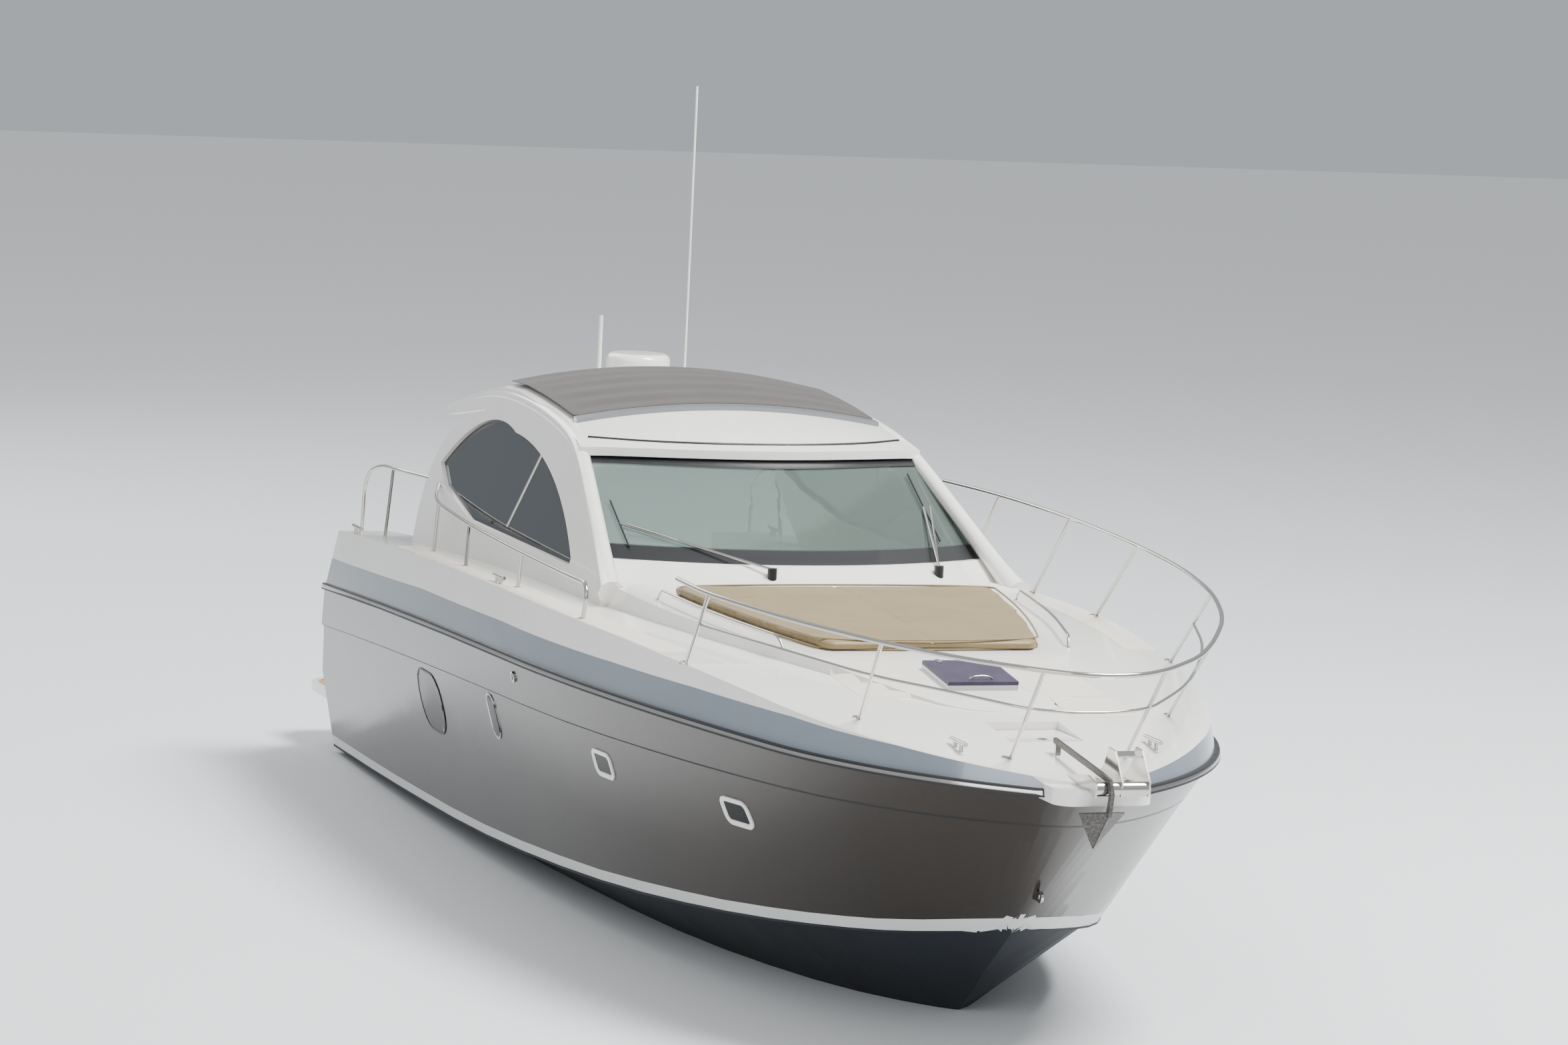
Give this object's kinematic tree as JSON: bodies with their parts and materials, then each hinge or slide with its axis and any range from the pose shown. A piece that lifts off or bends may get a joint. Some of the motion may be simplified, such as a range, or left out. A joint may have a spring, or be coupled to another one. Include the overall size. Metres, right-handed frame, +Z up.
{
  "type": "hardtop motor yacht",
  "caption": "Express motor yacht with a planing hull, hardtop, open cockpit, sun pads, bow rail, swim platform, and twin propellers and rudders.",
  "frame": {"origin": "on the centreline at the waterline, amidships", "axes": "+X to the bow, +Y to port, +Z up"},
  "size_m": [12.118, 3.8282, 5.9763],
  "materials": {
    "hull_gelcoat": "metallic grey gloss",
    "white_gelcoat": "gloss",
    "rail_steel": "polished",
    "rub_rail": "satin",
    "tinted_glass": "clear",
    "windshield_glass": "clear",
    "black_trim": "satin",
    "aluminium_frame": "satin",
    "roof_canvas": "woven",
    "tan_vinyl": "grained",
    "cream_vinyl": "grained",
    "teak": "oiled",
    "bronze": "cast",
    "iron": "painted",
    "anchor_iron": "painted"
  },
  "bodies": {
    "boat": {"hull": "hull_gelcoat", "deck": "white_gelcoat", "rub_rail": "rub_rail", "hardtop": "white_gelcoat", "side_windows": "tinted_glass", "windshield": "windshield_glass", "windshield_frame": "black_trim", "wipers": "black_trim", "roof_canvas": "roof_canvas", "canvas_bow": "aluminium_frame", "sunpad": "tan_vinyl", "foredeck_hatch_rim": "aluminium_frame", "windlass": "rail_steel", "bow_roller": "rail_steel", "anchor": "anchor_iron", "guard_rail": "rail_steel", "stern_rails": "rail_steel", "grab_rails": "rail_steel", "cleats": "rail_steel", "radar": "white_gelcoat", "aerials": "white_gelcoat", "bathing_platform": "white_gelcoat", "engines": "iron", "helm_console": "black_trim", "door_runners": "aluminium_frame", "helm_seat_base": "white_gelcoat", "helm_seat_cushion": "cream_vinyl", "sofa_base": "white_gelcoat", "sofa_cushions": "cream_vinyl", "aft_sunpad": "tan_vinyl", "wet_bar": "white_gelcoat", "cockpit_table": "teak", "shaft_brackets": "bronze", "bow_eye": "rail_steel", "stern_eyes": "rail_steel"},
    "propeller_shaft_port": {"propeller_port": "bronze", "shaft_port": "rail_steel"},
    "rudder_port": {"rudder_port": "bronze"},
    "trim_tab_port": {"trim_tab_port": "rail_steel"},
    "propeller_shaft_starboard": {"propeller_starboard": "bronze", "shaft_starboard": "rail_steel"},
    "rudder_starboard": {"rudder_starboard": "bronze"},
    "trim_tab_starboard": {"trim_tab_starboard": "rail_steel"},
    "wheel": {"steering_wheel": "black_trim"},
    "engine_hatch": {"engine_hatch": "teak"},
    "foredeck_hatch": {"foredeck_hatch_lid": "tinted_glass"},
    "anchor_locker": {"anchor_locker_lid": "white_gelcoat"},
    "companionway_door": {"companionway_door": "tinted_glass"},
    "transom_gate": {"transom_gate": "white_gelcoat"},
    "swim_ladder": {"swim_ladder": "rail_steel"}
  },
  "joints": [
    {"name": "propeller_turn_port", "type": "hinge", "parent": "boat", "child": "propeller_shaft_port", "pos_m": [-5.02, 0.65, -0.61], "axis": [0.9848, 0, 0.1736], "continuous": true},
    {"name": "rudder_turn_port", "type": "hinge", "parent": "boat", "child": "rudder_port", "pos_m": [-5.4, 0.65, -0.355], "axis": [0, 0, 1], "range_deg": [-35, 35]},
    {"name": "trim_tab_port_drop", "type": "hinge", "parent": "boat", "child": "trim_tab_port", "pos_m": [-5.6073, 1.02, -0.098], "axis": [0, -0.8997, -0.4366], "range_deg": [0, 20]},
    {"name": "propeller_turn_starboard", "type": "hinge", "parent": "boat", "child": "propeller_shaft_starboard", "pos_m": [-5.02, -0.65, -0.61], "axis": [0.9848, 0, 0.1736], "continuous": true},
    {"name": "rudder_turn_starboard", "type": "hinge", "parent": "boat", "child": "rudder_starboard", "pos_m": [-5.4, -0.65, -0.355], "axis": [0, 0, 1], "range_deg": [-35, 35]},
    {"name": "trim_tab_starboard_drop", "type": "hinge", "parent": "boat", "child": "trim_tab_starboard", "pos_m": [-5.6073, -1.02, -0.098], "axis": [0, -0.8997, 0.4366], "range_deg": [0, 20]},
    {"name": "helm_turn", "type": "hinge", "parent": "boat", "child": "wheel", "pos_m": [-0.225, -0.7, 1.6975], "axis": [-0.9069, 0, 0.4214], "range_deg": [-540, 540]},
    {"name": "engine_hatch_lift", "type": "hinge", "parent": "boat", "child": "engine_hatch", "pos_m": [-2.366, -0.325, 1], "axis": [0, 1, 0], "range_deg": [0, 75]},
    {"name": "foredeck_hatch_lift", "type": "hinge", "parent": "boat", "child": "foredeck_hatch", "pos_m": [3.67207, 0, 1.94831], "axis": [0, 1, 0], "range_deg": [0, 90]},
    {"name": "anchor_locker_lift", "type": "hinge", "parent": "boat", "child": "anchor_locker", "pos_m": [4.28, 0, 1.78694], "axis": [0, -1, 0], "range_deg": [0, 90]},
    {"name": "companionway_slide", "type": "slide", "parent": "boat", "child": "companionway_door", "axis": [0, 1, 0], "range_m": [0, 0.57]},
    {"name": "transom_gate_swing", "type": "hinge", "parent": "boat", "child": "transom_gate", "pos_m": [-4.9335, -0.7073, 1.25], "axis": [0, 0, -1], "range_deg": [0, 90]},
    {"name": "swim_ladder_fold", "type": "hinge", "parent": "boat", "child": "swim_ladder", "pos_m": [-6.372, -1, 0.478], "axis": [0, -1, 0], "range_deg": [0, 265]}
  ],
  "couplings": [
    {"joint": "rudder_turn_starboard", "follows": "rudder_turn_port", "ratio": 1},
    {"joint": "helm_turn", "follows": "rudder_turn_port", "ratio": -15.429}
  ]
}
